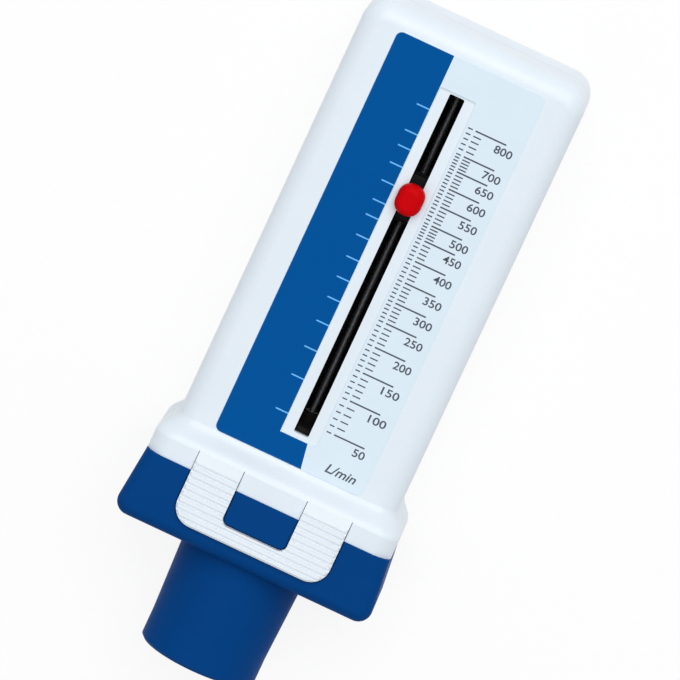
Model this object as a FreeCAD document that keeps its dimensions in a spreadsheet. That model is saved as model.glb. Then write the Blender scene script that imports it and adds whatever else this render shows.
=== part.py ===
import FreeCAD, Part
import math
import os

import Sketcher

# Peak flow meter, in millimetres. It lies on its back: +X to the right of the scale, +Y to the
# closed end, +Z out of the scale. The origin is under the middle of the bounding box.
# Heights along the meter are written from the lower edge of the skirt, where the base begins.

SIZES = {
    "case_length": 114.9,
    "case_width": 54.2,
    "case_depth": 31,
    "case_corner": 5.8,
    "front_round": 4.5,
    "rear_round": 3,
    "wall": 2,
    "flare_start": 9.9,
    "skirt_height": 4.5,
    "skirt_side": 3.1,
    "skirt_front": 3.6,
    "skirt_round": 4.8,
    "seam_height": 15.5,
    "lip_thickness": 1,
    "lip_height": 1.5,
    "lip_start": 12.5,
    "spigot_length": 4,
    "spigot_thickness": 1.4,
    "slot_width": 3.6,
    "slot_margin_low": 1.1,
    "slot_margin_high": 0.6,
    "slot_corner": 0.4,
    "bezel_width": 8.9,
    "bezel_foot": 6.2,
    "bezel_top": 12.6,
    "bezel_depth": 0.3,
    "bezel_corner": 0.6,
    "label_width": 36.6,
    "label_foot": 0.1,
    "label_top": 5,
    "label_corner": 1.5,
    "label_thickness": 0.2,
    "air_offset": 1,
    "slide_room": 0.75,
    "barrel_wall": 1.25,
    "barrel_below": 7.5,
    "rail_thickness": 1.2,
    "saddle_thickness": 1.6,
    "saddle_width": 34,
    "saddle_low": 14.5,
    "saddle_high": 16.4,
    "cap_flange": 2,
    "cap_plug": 4,
    "cap_boss": 2.5,
    "hub_radius": 2.3,
    "spider_ring": 2,
    "spider_hub": 4,
    "spoke_width": 1.3,
    "socket_wall": 1.2,
    "socket_depth": 3,
    "rod_diameter": 1.6,
    "clip_radius": 2.2,
    "clip_thickness": 0.5,
    "clip_slit": 0.7,
    "piston_rest": 14.5,
    "piston_disc": 1.6,
    "piston_rim": 4,
    "piston_rim_wall": 1.2,
    "piston_hub_low": 4.5,
    "piston_hub_high": 6,
    "pusher_width": 3,
    "pusher_thickness": 2,
    "bush_wall": 0.7,
    "buffer_length": 1.8,
    "buffer_radius": 2.2,
    "spring_wire": 0.5,
    "spring_pitch": 2.4,
    "knob_width": 6.2,
    "knob_length": 7.4,
    "knob_height": 2.9,
    "knob_corner": 2.8,
    "knob_round": 2,
    "neck_length": 4,
    "shoe_length": 12,
    "shoe_thickness": 1.1,
    "pad_length": 2.4,
    "pad_thickness": 0.55,
    "pointer_below_top": 38.6,
    "base_height": 16.1,
    "base_flare": 1.7,
    "base_step": 0.4,
    "base_corner": 3.3,
    "base_round": 3,
    "latch_width": 37.8,
    "latch_thickness": 2,
    "latch_root": 4.7,
    "latch_shoulder": 2.2,
    "latch_corner": 4.8,
    "latch_window": 15.8,
    "latch_window_depth": 8.15,
    "latch_window_corner": 1.8,
    "latch_bar": 3.75,
    "latch_recess": 0.9,
    "latch_bevel": 0.5,
    "rib_pitch": 1.55,
    "rib_groove": 1.1,
    "rib_depth": 0.5,
    "rib_start": 2.9,
    "mouthpiece_reach": 26.9,
    "mouthpiece_tip": 28,
    "mouthpiece_root": 29.6,
    "mouthpiece_land": 7,
    "mouthpiece_wall": 1.6,
    "mouthpiece_lip": 0.7,
    "snap_height": 0.7,
    "snap_thickness": 1.2,
    "gasket_thickness": 0.8,
    "slide_gap": 0.3,
    "hinge_gap": 0.05,
    "arm_gap": 0.15,
    "running_clearance": 0.05,
    "seat_clearance": 0.05,
    "plug_clearance": 0.2,
}

doc = FreeCAD.newDocument("peak_flow_meter")
sheet = doc.addObject("Spreadsheet::Sheet", "sizes")
for row, (size_name, size) in enumerate(SIZES.items(), start=1):
    sheet.set(f"A{row}", size_name)
    sheet.set(f"B{row}", str(size))
    sheet.setAlias(f"B{row}", size_name)
doc.recompute()

NODES = []
# How far the skirt has swelled at equal steps down the flare.
SKIRT_SWELL = ((0, 0), (0.25, 0.156), (0.5, 0.5), (0.75, 0.844), (1, 1))
START, END, CENTRE = range(1, 4)
ORIGIN = (-1, 1)


def bound(text):
    """The expression with every size named in the sheet."""
    words = []
    word = ""
    for letter in text + " ":
        if letter.isalpha() or letter == "_":
            word += letter
            continue
        words.append(f"sizes.{word}" if word in SIZES else word)
        words.append(letter)
        word = ""
    return "".join(words).strip()


def value(text):
    return float(sheet.evalExpression(bound(text)))


# Places that several pieces share, measured from the skirt's lower edge and from the back.
SKIRT_EDGE = "((base_height + mouthpiece_reach - case_length) / 2)"
SKIRT_HALF = "(case_width / 2 + skirt_side)"
SKIRT_DEPTH = "(case_depth + skirt_front)"
BASE_HALF = "(case_width / 2 + skirt_side + base_flare)"
BASE_DEPTH = "(case_depth + skirt_front + base_step)"
FRONT_INSIDE = "(case_depth - wall)"
BEZEL_FLOOR = "(case_depth - bezel_depth)"
KNOB_BASE = "(case_depth + label_thickness + slide_gap)"
AIR_HEIGHT = "(case_depth / 2 + air_offset)"
BARREL_RADIUS = "(case_depth / 2 - air_offset - wall - slide_room)"
BORE_RADIUS = "(case_depth / 2 - air_offset - wall - slide_room - barrel_wall)"
BARREL_TOP = "(case_length - wall - lip_thickness - seat_clearance - cap_flange)"
LABEL_LOW = "(flare_start + label_foot)"
LABEL_HIGH = "(case_length - label_top)"
BEZEL_LOW = "(flare_start + bezel_foot)"
BEZEL_HIGH = "(case_length - bezel_top)"
SLOT_LOW = "(flare_start + bezel_foot + slot_margin_low)"
SLOT_HIGH = "(case_length - bezel_top - slot_margin_high)"
POINTER_REST = "(case_length - pointer_below_top)"
SHOE_TOP = "(case_depth - wall - seat_clearance - pad_thickness)"
SHOE_BOTTOM = "(case_depth - wall - seat_clearance - pad_thickness - shoe_thickness)"
SHOE_HALF = "(bezel_width / 2)"
RAIL_INSIDE = "(bezel_width / 2 + slide_gap)"
LATCH_FRONT = f"({BASE_DEPTH} - latch_recess + slide_gap + latch_thickness)"
LATCH_BACK = f"({BASE_DEPTH} - latch_recess + slide_gap)"
LATCH_END = "(latch_window_depth + latch_bar)"
ROD_RADIUS = "(rod_diameter / 2)"
BUSH_BORE = "(rod_diameter / 2 + running_clearance)"
BUSH_RADIUS = "(rod_diameter / 2 + running_clearance + bush_wall)"
SPIDER_LOW = "(-barrel_below - spider_ring)"
SLEEVE_RADIUS = f"({BORE_RADIUS} + mouthpiece_wall)"


def new_body(name, along="0", height="0"):
    """A body placed along the meter from the skirt's edge and above the back."""
    body = doc.addObject("PartDesign::Body", name)
    body.Label = name
    body.setExpression("Placement.Base.y", bound(f"{SKIRT_EDGE} + {along}"))
    body.setExpression("Placement.Base.z", bound(height))
    return body


def new_sketch(body, plane, name, offset=None):
    """A sketch on one of the body's origin planes, moved along the plane's normal."""
    sketch = body.newObject("Sketcher::SketchObject", name)
    origin = next(f for f in body.Origin.OriginFeatures if f.Role == plane)
    sketch.AttachmentSupport = [(origin, "")]
    sketch.MapMode = "FlatFace"
    if offset is not None:
        sketch.setExpression("AttachmentOffset.Base.z", bound(offset))
    return sketch


def pin_point(sketch, element, point, across, up):
    """Hold a point of the sketch at two expressions measured from the sketch's origin."""
    for kind, text in (("DistanceX", across), ("DistanceY", up)):
        held = Sketcher.Constraint(kind, *ORIGIN, element, point, value(text))
        number = sketch.addConstraint(held)
        sketch.setExpression(f"Constraints[{number}]", bound(text))


def draw_circle(sketch, radius, across="0", up="0"):
    centre = FreeCAD.Vector(value(across), value(up), 0)
    circle = Part.Circle(centre, FreeCAD.Vector(0, 0, 1), value(radius))
    element = sketch.addGeometry(circle)
    pin_point(sketch, element, CENTRE, across, up)
    number = sketch.addConstraint(Sketcher.Constraint("Radius", element, value(radius)))
    sketch.setExpression(f"Constraints[{number}]", bound(radius))


def corner_arc(before, corner, after, radius):
    """The arc that rounds a corner, and which of its ends the outline reaches first."""
    to_before = (before - corner).normalize()
    to_after = (after - corner).normalize()
    half_angle = to_before.getAngle(to_after) / 2
    middle = (to_before + to_after).normalize()
    centre = corner + middle * (radius / math.sin(half_angle))
    reach = radius / math.tan(half_angle)
    first = corner + to_before * reach - centre
    last = corner + to_after * reach - centre
    turns_left = (corner - before).cross(after - corner).z > 0
    if not turns_left:
        first, last = last, first
    circle = Part.Circle(centre, FreeCAD.Vector(0, 0, 1), radius)
    angles = [math.atan2(end.y, end.x) for end in (first, last)]
    if angles[1] < angles[0]:
        angles[1] += 2 * math.pi
    ends = (START, END) if turns_left else (END, START)
    return Part.ArcOfCircle(circle, *angles), ends


def draw_outline(sketch, corners):
    """A closed outline. Each corner is (across, up) or (across, up, radius), as expressions."""
    count = len(corners)
    points = [FreeCAD.Vector(value(c[0]), value(c[1]), 0) for c in corners]
    arcs = {}
    joints = []
    for index, corner in enumerate(corners):
        if len(corner) == 3:
            radius = value(corner[2])
            before, after = points[index - 1], points[(index + 1) % count]
            arcs[index] = corner_arc(before, points[index], after, radius)
    for index in range(count):
        ends = []
        for side, number in ((1, index), (0, (index + 1) % count)):
            end = points[number]
            if number in arcs:
                arc, order = arcs[number]
                end = arc.EndPoint if order[side] == END else arc.StartPoint
            ends.append(end)
        joints.append(sketch.addGeometry(Part.LineSegment(*ends)))
    for index, corner in enumerate(corners):
        before, after = joints[index - 1], joints[index]
        if index not in arcs:
            sketch.addConstraint(Sketcher.Constraint("Coincident", before, END, after, START))
            pin_point(sketch, after, START, corner[0], corner[1])
            continue
        arc, order = arcs[index]
        rounding = sketch.addGeometry(arc)
        apex = sketch.addGeometry(Part.Point(points[index]), True)
        pin_point(sketch, apex, START, corner[0], corner[1])
        for line, line_end, arc_end in ((before, END, order[0]), (after, START, order[1])):
            sketch.addConstraint(Sketcher.Constraint("PointOnObject", apex, 1, line))
            tangent = Sketcher.Constraint("Tangent", line, line_end, rounding, arc_end)
            sketch.addConstraint(tangent)
        number = sketch.addConstraint(Sketcher.Constraint("Radius", rounding, arc.Radius))
        sketch.setExpression(f"Constraints[{number}]", bound(corner[2]))


def rectangle(left, right, low, high, radius=None):
    corners = [(left, low), (right, low), (right, high), (left, high)]
    return [c + (radius,) for c in corners] if radius else corners


def add_feature(body, kind, name, sketch, **settings):
    """A feature made from a sketch. Text settings are bound as expressions."""
    feature = body.newObject(f"PartDesign::{kind}", name)
    feature.Profile = (sketch, [""])
    for setting, choice in settings.items():
        if isinstance(choice, str) and setting in ("Length", "Length2"):
            feature.setExpression(setting, bound(choice))
        else:
            setattr(feature, setting, choice)
    doc.recompute()
    return feature


def pad(body, name, sketch, length, **settings):
    return add_feature(body, "Pad", name, sketch, Length=length, **settings)


def pocket(body, name, sketch, length=None, **settings):
    """A cut that has to take material away."""
    before = body.Shape.Volume
    if length is None:
        settings.update(Type="ThroughAll", Midplane=True)
        cut = add_feature(body, "Pocket", name, sketch, **settings)
    else:
        cut = add_feature(body, "Pocket", name, sketch, Length=length, **settings)
    if body.Shape.Volume >= before - 1e-6:
        raise ValueError(f"{body.Label}: {name} cuts nothing")
    return cut


def revolve(body, name, corners):
    """A solid of revolution about the body's Y axis, from (along, radius) corners."""
    sketch = new_sketch(body, "YZ_Plane", f"{name}_profile")
    draw_outline(sketch, corners)
    return add_feature(body, "Revolution", name, sketch, ReferenceAxis=(sketch, ["H_Axis"]))


def fillet(body, name, feature, radius, chosen, kind="Fillet"):
    """Round the edges of a feature that a test on the edge's bounding box picks."""
    edges = []
    for number, edge in enumerate(feature.Shape.Edges, start=1):
        if chosen(edge.BoundBox):
            edges.append(f"Edge{number}")
    if not edges:
        raise ValueError(f"{body.Label}: {name} finds no edge")
    rounding = body.newObject(f"PartDesign::{kind}", name)
    rounding.Base = (feature, edges)
    rounding.setExpression("Radius" if kind == "Fillet" else "Size", bound(radius))
    doc.recompute()
    return rounding


def near(first, second, tolerance=1e-3):
    return abs(first - second) < tolerance


def keep(thing, label=None):
    if label:
        thing.Label = label
    NODES.append(thing)
    return thing


def boolean(kind, name, *shapes):
    result = doc.addObject(f"Part::{kind}", name)
    if kind in ("Cut", "Common"):
        result.Base, result.Tool = shapes
    elif kind == "Compound":
        result.Links = list(shapes)
    else:
        result.Shapes = list(shapes)
    doc.recompute()
    return result


def loft_section(body, name, along, half, back, front, radius):
    """A rounded rectangle across the meter at a height along it."""
    sketch = new_sketch(body, "XZ_Plane", name, offset=f"-({along})")
    draw_outline(sketch, rectangle(f"-({half})", half, back, front, radius))
    return sketch


def case_form(name, inset):
    """The outside of the case, or its inside when it is inset by the wall."""
    body = new_body(name)
    half = f"case_width / 2 - {inset}"
    outline = new_sketch(body, "XY_Plane", f"{name}_outline", offset=inset)
    rounded = f"case_corner - {inset}"
    draw_outline(outline, [
        (f"-({half})", "flare_start"),
        (half, "flare_start"),
        (half, f"case_length - {inset}", rounded),
        (f"-({half})", f"case_length - {inset}", rounded),
    ])
    block = pad(body, f"{name}_block", outline, f"case_depth - 2 * {inset}")
    start = value("flare_start")
    rims = [("front", f"case_depth - {inset}", f"front_round - {inset}")]
    if inset == "0":
        rims.append(("rear", inset, "rear_round"))
    for side, level, radius in rims:
        def on_rim(box, level=value(level)):
            flat = near(box.ZMin, level) and near(box.ZMax, level)
            return flat and box.YMax > start + 0.01
        block = fillet(body, f"{name}_{side}_round", block, radius, on_rim)
    # The skirt swells out in an S and then runs straight to its edge.
    run = "(flare_start - skirt_height)"
    profiles = []
    swell = SKIRT_SWELL if inset == "0" else (SKIRT_SWELL[0], SKIRT_SWELL[-1])
    for number, (share, out) in enumerate(swell):
        profiles.append(loft_section(
            body, f"{name}_section_{number}", f"flare_start - {share} * {run}",
            f"case_width / 2 + {out} * skirt_side - {inset}", inset,
            f"case_depth + {out} * skirt_front - {inset}",
            f"front_round + {out} * (skirt_round - front_round) - {inset}",
        ))
    loft = body.newObject("PartDesign::AdditiveLoft", f"{name}_swell")
    loft.Profile = (profiles[0], [""])
    loft.Sections = [(profile, [""]) for profile in profiles[1:]]
    doc.recompute()
    edge = loft_section(
        body, f"{name}_skirt_outline", "0", f"{SKIRT_HALF} - {inset}", inset,
        f"{SKIRT_DEPTH} - {inset}", f"skirt_round - {inset}",
    )
    pad(body, f"{name}_skirt", edge, "skirt_height", Reversed=True)
    return body


def ring_section(body, name, along, inset):
    """The inside outline of the skirt, inset by an expression."""
    return loft_section(
        body, name, along, f"{SKIRT_HALF} - wall - {inset}", f"wall + {inset}",
        f"{SKIRT_DEPTH} - wall - {inset}", f"skirt_round - wall - {inset}",
    )


def make_spigot():
    """The ring of the skirt that plugs into the base."""
    body = new_body("spigot")
    outer = ring_section(body, "spigot_outline", "-spigot_length", "plug_clearance")
    pad(body, "spigot_ring", outer, "spigot_length + skirt_height / 2", Reversed=True)
    root = ring_section(body, "spigot_root_outline", "0", "0")
    pad(body, "spigot_root", root, "skirt_height / 2", Reversed=True)
    bore = ring_section(
        body, "spigot_bore_outline", "0", "plug_clearance + spigot_thickness")
    pocket(body, "spigot_bore", bore)
    return body


def lip_outline(sketch, inset):
    """The inside outline of the case above the flare, inset by an expression."""
    half = f"case_width / 2 - wall - {inset}"
    top = f"case_length - wall - {inset}"
    rounded = f"case_corner - wall - {inset}"
    draw_outline(sketch, [
        (f"-({half})", "lip_start"), (half, "lip_start"),
        (half, top, rounded), (f"-({half})", top, rounded),
    ])


def make_lip():
    """The tongue along the seam. It is set into the rear shell and reaches into the front one."""
    body = new_body("lip")
    root = new_sketch(body, "XY_Plane", "lip_root_outline", offset="seam_height - lip_height")
    lip_outline(root, "-seat_clearance")
    pad(body, "lip_root", root, "lip_height")
    tongue = new_sketch(body, "XY_Plane", "lip_tongue_outline", offset="seam_height")
    lip_outline(tongue, "seat_clearance")
    pad(body, "lip_tongue", tongue, "lip_height")
    bore = new_sketch(body, "XY_Plane", "lip_bore_outline", offset="seam_height")
    half = "case_width / 2 - wall - lip_thickness"
    top = "case_length - wall - lip_thickness"
    rounded = "case_corner - wall - lip_thickness"
    draw_outline(bore, [
        (f"-({half})", "lip_start - lip_height"), (half, "lip_start - lip_height"),
        (half, top, rounded), (f"-({half})", top, rounded),
    ])
    pocket(body, "lip_bore", bore)
    return body


def make_saddles():
    """Ribs on the back wall that carry the barrel."""
    body = new_body("saddles")
    high = "(case_length - saddle_high)"
    rows = ("saddle_low", f"(saddle_low + {high}) / 2", high)
    for number, along in enumerate(rows, start=1):
        outline = new_sketch(body, "XZ_Plane", f"saddle_{number}_outline", offset=f"-({along})")
        draw_outline(outline, rectangle(
            "-saddle_width / 2", "saddle_width / 2", "wall - seat_clearance",
            "seam_height - lip_height"))
        pad(body, f"saddle_{number}", outline, "saddle_thickness", Reversed=True)
    seat = new_sketch(body, "XZ_Plane", "saddle_seat_outline")
    draw_circle(seat, f"{BARREL_RADIUS} + seat_clearance", up=AIR_HEIGHT)
    pocket(body, "saddle_seat", seat)
    return body


def half_space(name, low, high):
    """A block that holds the part of the case between two heights above the back."""
    block = doc.addObject("Part::Box", name)
    width = f"2 * {BASE_HALF} + 2 * wall"
    for size, text in (("Length", width), ("Width", "case_length + 4 * spigot_length"),
                       ("Height", f"{high} - {low}")):
        block.setExpression(size, bound(text))
    block.setExpression("Placement.Base.x", bound(f"-({width}) / 2"))
    block.setExpression("Placement.Base.y", bound(f"{SKIRT_EDGE} - 2 * spigot_length"))
    block.setExpression("Placement.Base.z", bound(low))
    doc.recompute()
    return block


def carved_body(name, shape):
    """A body that goes on from a finished shape, in the meter's own frame."""
    body = doc.addObject("PartDesign::Body", name)
    body.Label = name
    body.BaseFeature = shape
    doc.recompute()
    return body


def placed_sketch(body, plane, name, offset="0"):
    """A sketch in a carved body, measured from the skirt's edge like the others."""
    sketch = new_sketch(body, plane, name, offset=offset)
    sketch.setExpression("AttachmentOffset.Base.y", bound(SKIRT_EDGE))
    return sketch


def make_shells():
    outside = case_form("case_outside", "0")
    inside = case_form("case_inside", "wall")
    hollow = boolean("Cut", "case_hollow", outside, inside)
    case = boolean("MultiFuse", "case_with_spigot", hollow, make_spigot())
    upper = half_space("upper_half", "seam_height", LATCH_FRONT)
    lower = half_space("lower_half", "-wall", "seam_height")
    front = carved_body("front_shell", boolean("Common", "front_half", case, upper))
    slot = placed_sketch(front, "XY_Plane", "slot_outline", FRONT_INSIDE + " - wall")
    draw_outline(slot, rectangle(
        "-slot_width / 2", "slot_width / 2", SLOT_LOW, SLOT_HIGH, "slot_corner"))
    pocket(front, "slot", slot, "3 * wall", Reversed=True)
    bezel = placed_sketch(front, "XY_Plane", "bezel_outline", BEZEL_FLOOR)
    draw_outline(bezel, rectangle(
        "-bezel_width / 2", "bezel_width / 2", BEZEL_LOW, BEZEL_HIGH, "bezel_corner"))
    pocket(front, "bezel", bezel, "wall", Reversed=True)
    # The two arms of the latch leave the skirt through these notches.
    notches = placed_sketch(front, "XY_Plane", "latch_notch_outline", f"{SKIRT_DEPTH} - wall")
    for side in ("", "-"):
        near_edge = f"{side}(latch_window / 2 - arm_gap)"
        far_edge = f"{side}(latch_width / 2 + arm_gap)"
        left, right = (near_edge, far_edge) if side == "" else (far_edge, near_edge)
        draw_outline(notches, rectangle(left, right, "-wall", "latch_root + hinge_gap"))
    pocket(front, "latch_notches", notches, "3 * wall", Reversed=True)
    keep(front)
    rear_half = boolean("Common", "rear_half", case, lower)
    rear = boolean("MultiFuse", "rear_shell_form", rear_half, make_lip(), make_saddles())
    keep(rear, "rear_shell")


def make_label():
    body = new_body("scale_label", height="case_depth")
    outline = new_sketch(body, "XY_Plane", "label_outline")
    draw_outline(outline, rectangle(
        "-label_width / 2", "label_width / 2", LABEL_LOW, LABEL_HIGH, "label_corner"))
    draw_outline(outline, rectangle(
        "-bezel_width / 2", "bezel_width / 2", BEZEL_LOW, BEZEL_HIGH, "bezel_corner"))
    pad(body, "label_film", outline, "label_thickness")
    keep(body)


def make_barrel():
    """The tube that the piston runs in, open in front between two rails."""
    length = f"{BARREL_TOP} + barrel_below"
    body = new_body("barrel", "-barrel_below", AIR_HEIGHT)
    revolve(body, "barrel_tube", [
        ("0", BORE_RADIUS), (length, BORE_RADIUS), (length, BARREL_RADIUS), ("0", BARREL_RADIUS)])
    low = f"{SLOT_LOW} + slide_gap + neck_length / 2 - shoe_length / 2 - slide_gap"
    high = f"{SLOT_HIGH} - slide_gap - neck_length / 2 + shoe_length / 2 + slide_gap"
    rail_top = f"{FRONT_INSIDE} - {AIR_HEIGHT}"
    rails = new_sketch(body, "XY_Plane", "rail_outline", offset=f"{BORE_RADIUS} / 2")
    draw_outline(rails, rectangle(
        f"-({RAIL_INSIDE} + rail_thickness)", f"{RAIL_INSIDE} + rail_thickness",
        f"{low} + barrel_below - rail_thickness", f"{high} + barrel_below + rail_thickness"))
    pad(body, "rails", rails, f"{rail_top} - {BORE_RADIUS} / 2")
    window = new_sketch(body, "XY_Plane", "rail_window_outline", offset="0")
    draw_outline(window, rectangle(
        f"-({RAIL_INSIDE})", RAIL_INSIDE, f"{low} + barrel_below", f"{high} + barrel_below"))
    pocket(body, "rail_window", window, f"{rail_top} + wall", Reversed=True)
    bore = new_sketch(body, "XZ_Plane", "barrel_bore_outline")
    draw_circle(bore, BORE_RADIUS)
    pocket(body, "barrel_clear_bore", bore)
    keep(body)


def make_end_cap():
    """Closes the barrel and holds the upper end of the rod."""
    body = new_body("barrel_end_cap", BARREL_TOP, AIR_HEIGHT)
    plug_radius = f"{BORE_RADIUS} - seat_clearance"
    revolve(body, "cap_form", [
        ("cap_flange", "0"), ("cap_flange", BARREL_RADIUS), ("0", BARREL_RADIUS),
        ("0", plug_radius), ("-cap_plug", plug_radius),
        ("-cap_plug", f"{plug_radius} - wall / 2"), ("-wall / 2", f"{plug_radius} - wall / 2"),
        ("-wall / 2", "cap_boss"), ("-cap_plug", "cap_boss"), ("-cap_plug", "0")])
    hole = new_sketch(body, "XZ_Plane", "cap_rod_hole_outline", offset="-cap_flange")
    draw_circle(hole, ROD_RADIUS)
    pocket(body, "cap_rod_hole", hole)
    keep(body)


def make_spider():
    """The ring with three spokes that carries the lower end of the rod."""
    body = new_body("inlet_spider", SPIDER_LOW, AIR_HEIGHT)
    socket = f"{BARREL_RADIUS} + seat_clearance"
    outer = f"{socket} + socket_wall"
    depth = "spider_ring + socket_depth"
    revolve(body, "spider_socket", [
        ("0", BORE_RADIUS), ("spider_ring", BORE_RADIUS), ("spider_ring", socket),
        (depth, socket), (depth, outer), ("0", outer)])
    revolve(body, "spider_hub", [
        ("0", "0"), ("spider_hub + spider_ring", "0"),
        ("spider_hub + spider_ring", "hub_radius"), ("0", "hub_radius")])
    spoke = new_sketch(body, "XZ_Plane", "spoke_outline")
    draw_outline(spoke, rectangle(
        "-spoke_width / 2", "spoke_width / 2", "hub_radius / 2", f"{BORE_RADIUS} + wall / 4"))
    first = pad(body, "spoke", spoke, "spider_ring", Reversed=True)
    spokes = body.newObject("PartDesign::PolarPattern", "spokes")
    spokes.Originals = [first]
    spokes.Axis = (next(f for f in body.Origin.OriginFeatures if f.Role == "Y_Axis"), [""])
    spokes.Angle = 360
    spokes.Occurrences = 3
    body.Tip = spokes
    doc.recompute()
    hole = new_sketch(body, "XZ_Plane", "spider_rod_hole_outline")
    draw_circle(hole, ROD_RADIUS)
    pocket(body, "spider_rod_hole", hole)
    keep(body)


def make_rod():
    body = new_body("guide_rod", f"{SPIDER_LOW} - 2 * clip_thickness", AIR_HEIGHT)
    length = f"{BARREL_TOP} - ({SPIDER_LOW}) + 2 * clip_thickness + cap_flange - seat_clearance"
    revolve(body, "rod_form", [("0", "0"), (length, "0"), (length, ROD_RADIUS),
                               ("0", ROD_RADIUS)])
    rod = body.Tip
    fillet(body, "rod_ends", rod, "rod_diameter / 8",
           lambda box: near(box.YMin, box.YMax), kind="Chamfer")
    keep(body)


def make_clips():
    """Push-on rings at the spider and under the end cap's boss, one solid each."""
    clips = []
    upper = f"{BARREL_TOP} - cap_plug - clip_thickness"
    for name, along in (("lower_clip", f"{SPIDER_LOW} - clip_thickness"), ("upper_clip", upper)):
        body = new_body(name, along, AIR_HEIGHT)
        revolve(body, f"{name}_disc", [
            ("0", ROD_RADIUS), ("clip_thickness", ROD_RADIUS),
            ("clip_thickness", "clip_radius"), ("0", "clip_radius")])
        slit = new_sketch(body, "XZ_Plane", f"{name}_slit_outline")
        draw_outline(slit, rectangle(
            "-clip_slit / 2", "clip_slit / 2", "0", "clip_radius + clip_slit"))
        pocket(body, f"{name}_slit", slit)
        clips.append(body)
    keep(boolean("Compound", "clip_pair", *clips), "rod_clips")


def make_piston():
    """A cup with a hub on the rod, and the pusher that reaches towards the pointer."""
    body = new_body("piston", "piston_rest", AIR_HEIGHT)
    radius = f"{BORE_RADIUS} - slide_gap"
    revolve(body, "piston_cup", [
        ("piston_disc", BUSH_RADIUS), ("piston_disc", radius),
        ("piston_disc - piston_rim", radius),
        ("piston_disc - piston_rim", f"{radius} - piston_rim_wall"),
        ("0", f"{radius} - piston_rim_wall"), ("0", "hub_radius"),
        ("-piston_hub_low", "hub_radius"), ("-piston_hub_low", BUSH_RADIUS)])
    revolve(body, "piston_hub", [
        ("0", BUSH_RADIUS), ("piston_hub_high", BUSH_RADIUS),
        ("piston_hub_high", "hub_radius"), ("0", "hub_radius")])
    pusher = new_sketch(body, "XZ_Plane", "pusher_outline", offset="-piston_disc / 2")
    draw_outline(pusher, rectangle(
        "-pusher_width / 2", "pusher_width / 2", "(hub_radius + slide_gap)",
        f"{SHOE_BOTTOM} - slide_gap - {AIR_HEIGHT}"))
    pad(body, "pusher", pusher, "piston_disc / 2 + pusher_thickness", Reversed=True)
    keep(body)
    bush = new_body("piston_bush", "piston_rest - piston_hub_low", AIR_HEIGHT)
    length = "piston_hub_low + piston_hub_high"
    revolve(bush, "bush_form", [
        ("0", BUSH_BORE), (length, BUSH_BORE), (length, BUSH_RADIUS), ("0", BUSH_RADIUS)])
    keep(bush)


def make_buffer():
    """A rubber ring on the rod that ends the piston's stroke."""
    body = new_body("stroke_buffer", f"{BARREL_TOP} - cap_plug - clip_thickness - buffer_length",
                    AIR_HEIGHT)
    revolve(body, "buffer_form", [
        ("0", ROD_RADIUS), ("buffer_length", ROD_RADIUS), ("buffer_length", "buffer_radius"),
        ("0", "buffer_radius")])
    keep(body)


def make_spring():
    """The open coil between the spider's hub and the piston, its wire in short straight steps."""
    steps = 10
    whole = value("piston_rest + barrel_below - 2 * seat_clearance - spring_wire")
    radius = value("hub_radius + seat_clearance + spring_wire / 2") / math.cos(math.pi / steps)
    count = round(whole / value("spring_pitch")) * steps
    points = []
    for step in range(count + 1):
        angle = 2 * math.pi * step / steps
        along = whole * step / count + value("spring_wire") / 2
        points.append(FreeCAD.Vector(radius * math.cos(angle), along, radius * math.sin(angle)))
    path = doc.addObject("Part::Feature", "coil_path")
    path.Shape = Part.makePolygon(points)
    section = doc.addObject("Part::RegularPolygon", "wire_section")
    section.Polygon = 6
    section.setExpression("Circumradius", bound("spring_wire / 2"))
    turn = FreeCAD.Rotation(FreeCAD.Vector(0, 0, 1), points[1] - points[0])
    section.Placement = FreeCAD.Placement(points[0], turn)
    coil = doc.addObject("Part::Sweep", "return_spring")
    coil.Sections = [section]
    coil.Spine = (path, [f"Edge{number + 1}" for number in range(count)])
    coil.Solid = True
    coil.Transition = "Right corner"
    coil.Placement.Base = FreeCAD.Vector(
        0, value(f"{SKIRT_EDGE} - barrel_below + seat_clearance"), value(AIR_HEIGHT))
    doc.recompute()
    keep(coil)


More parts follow.
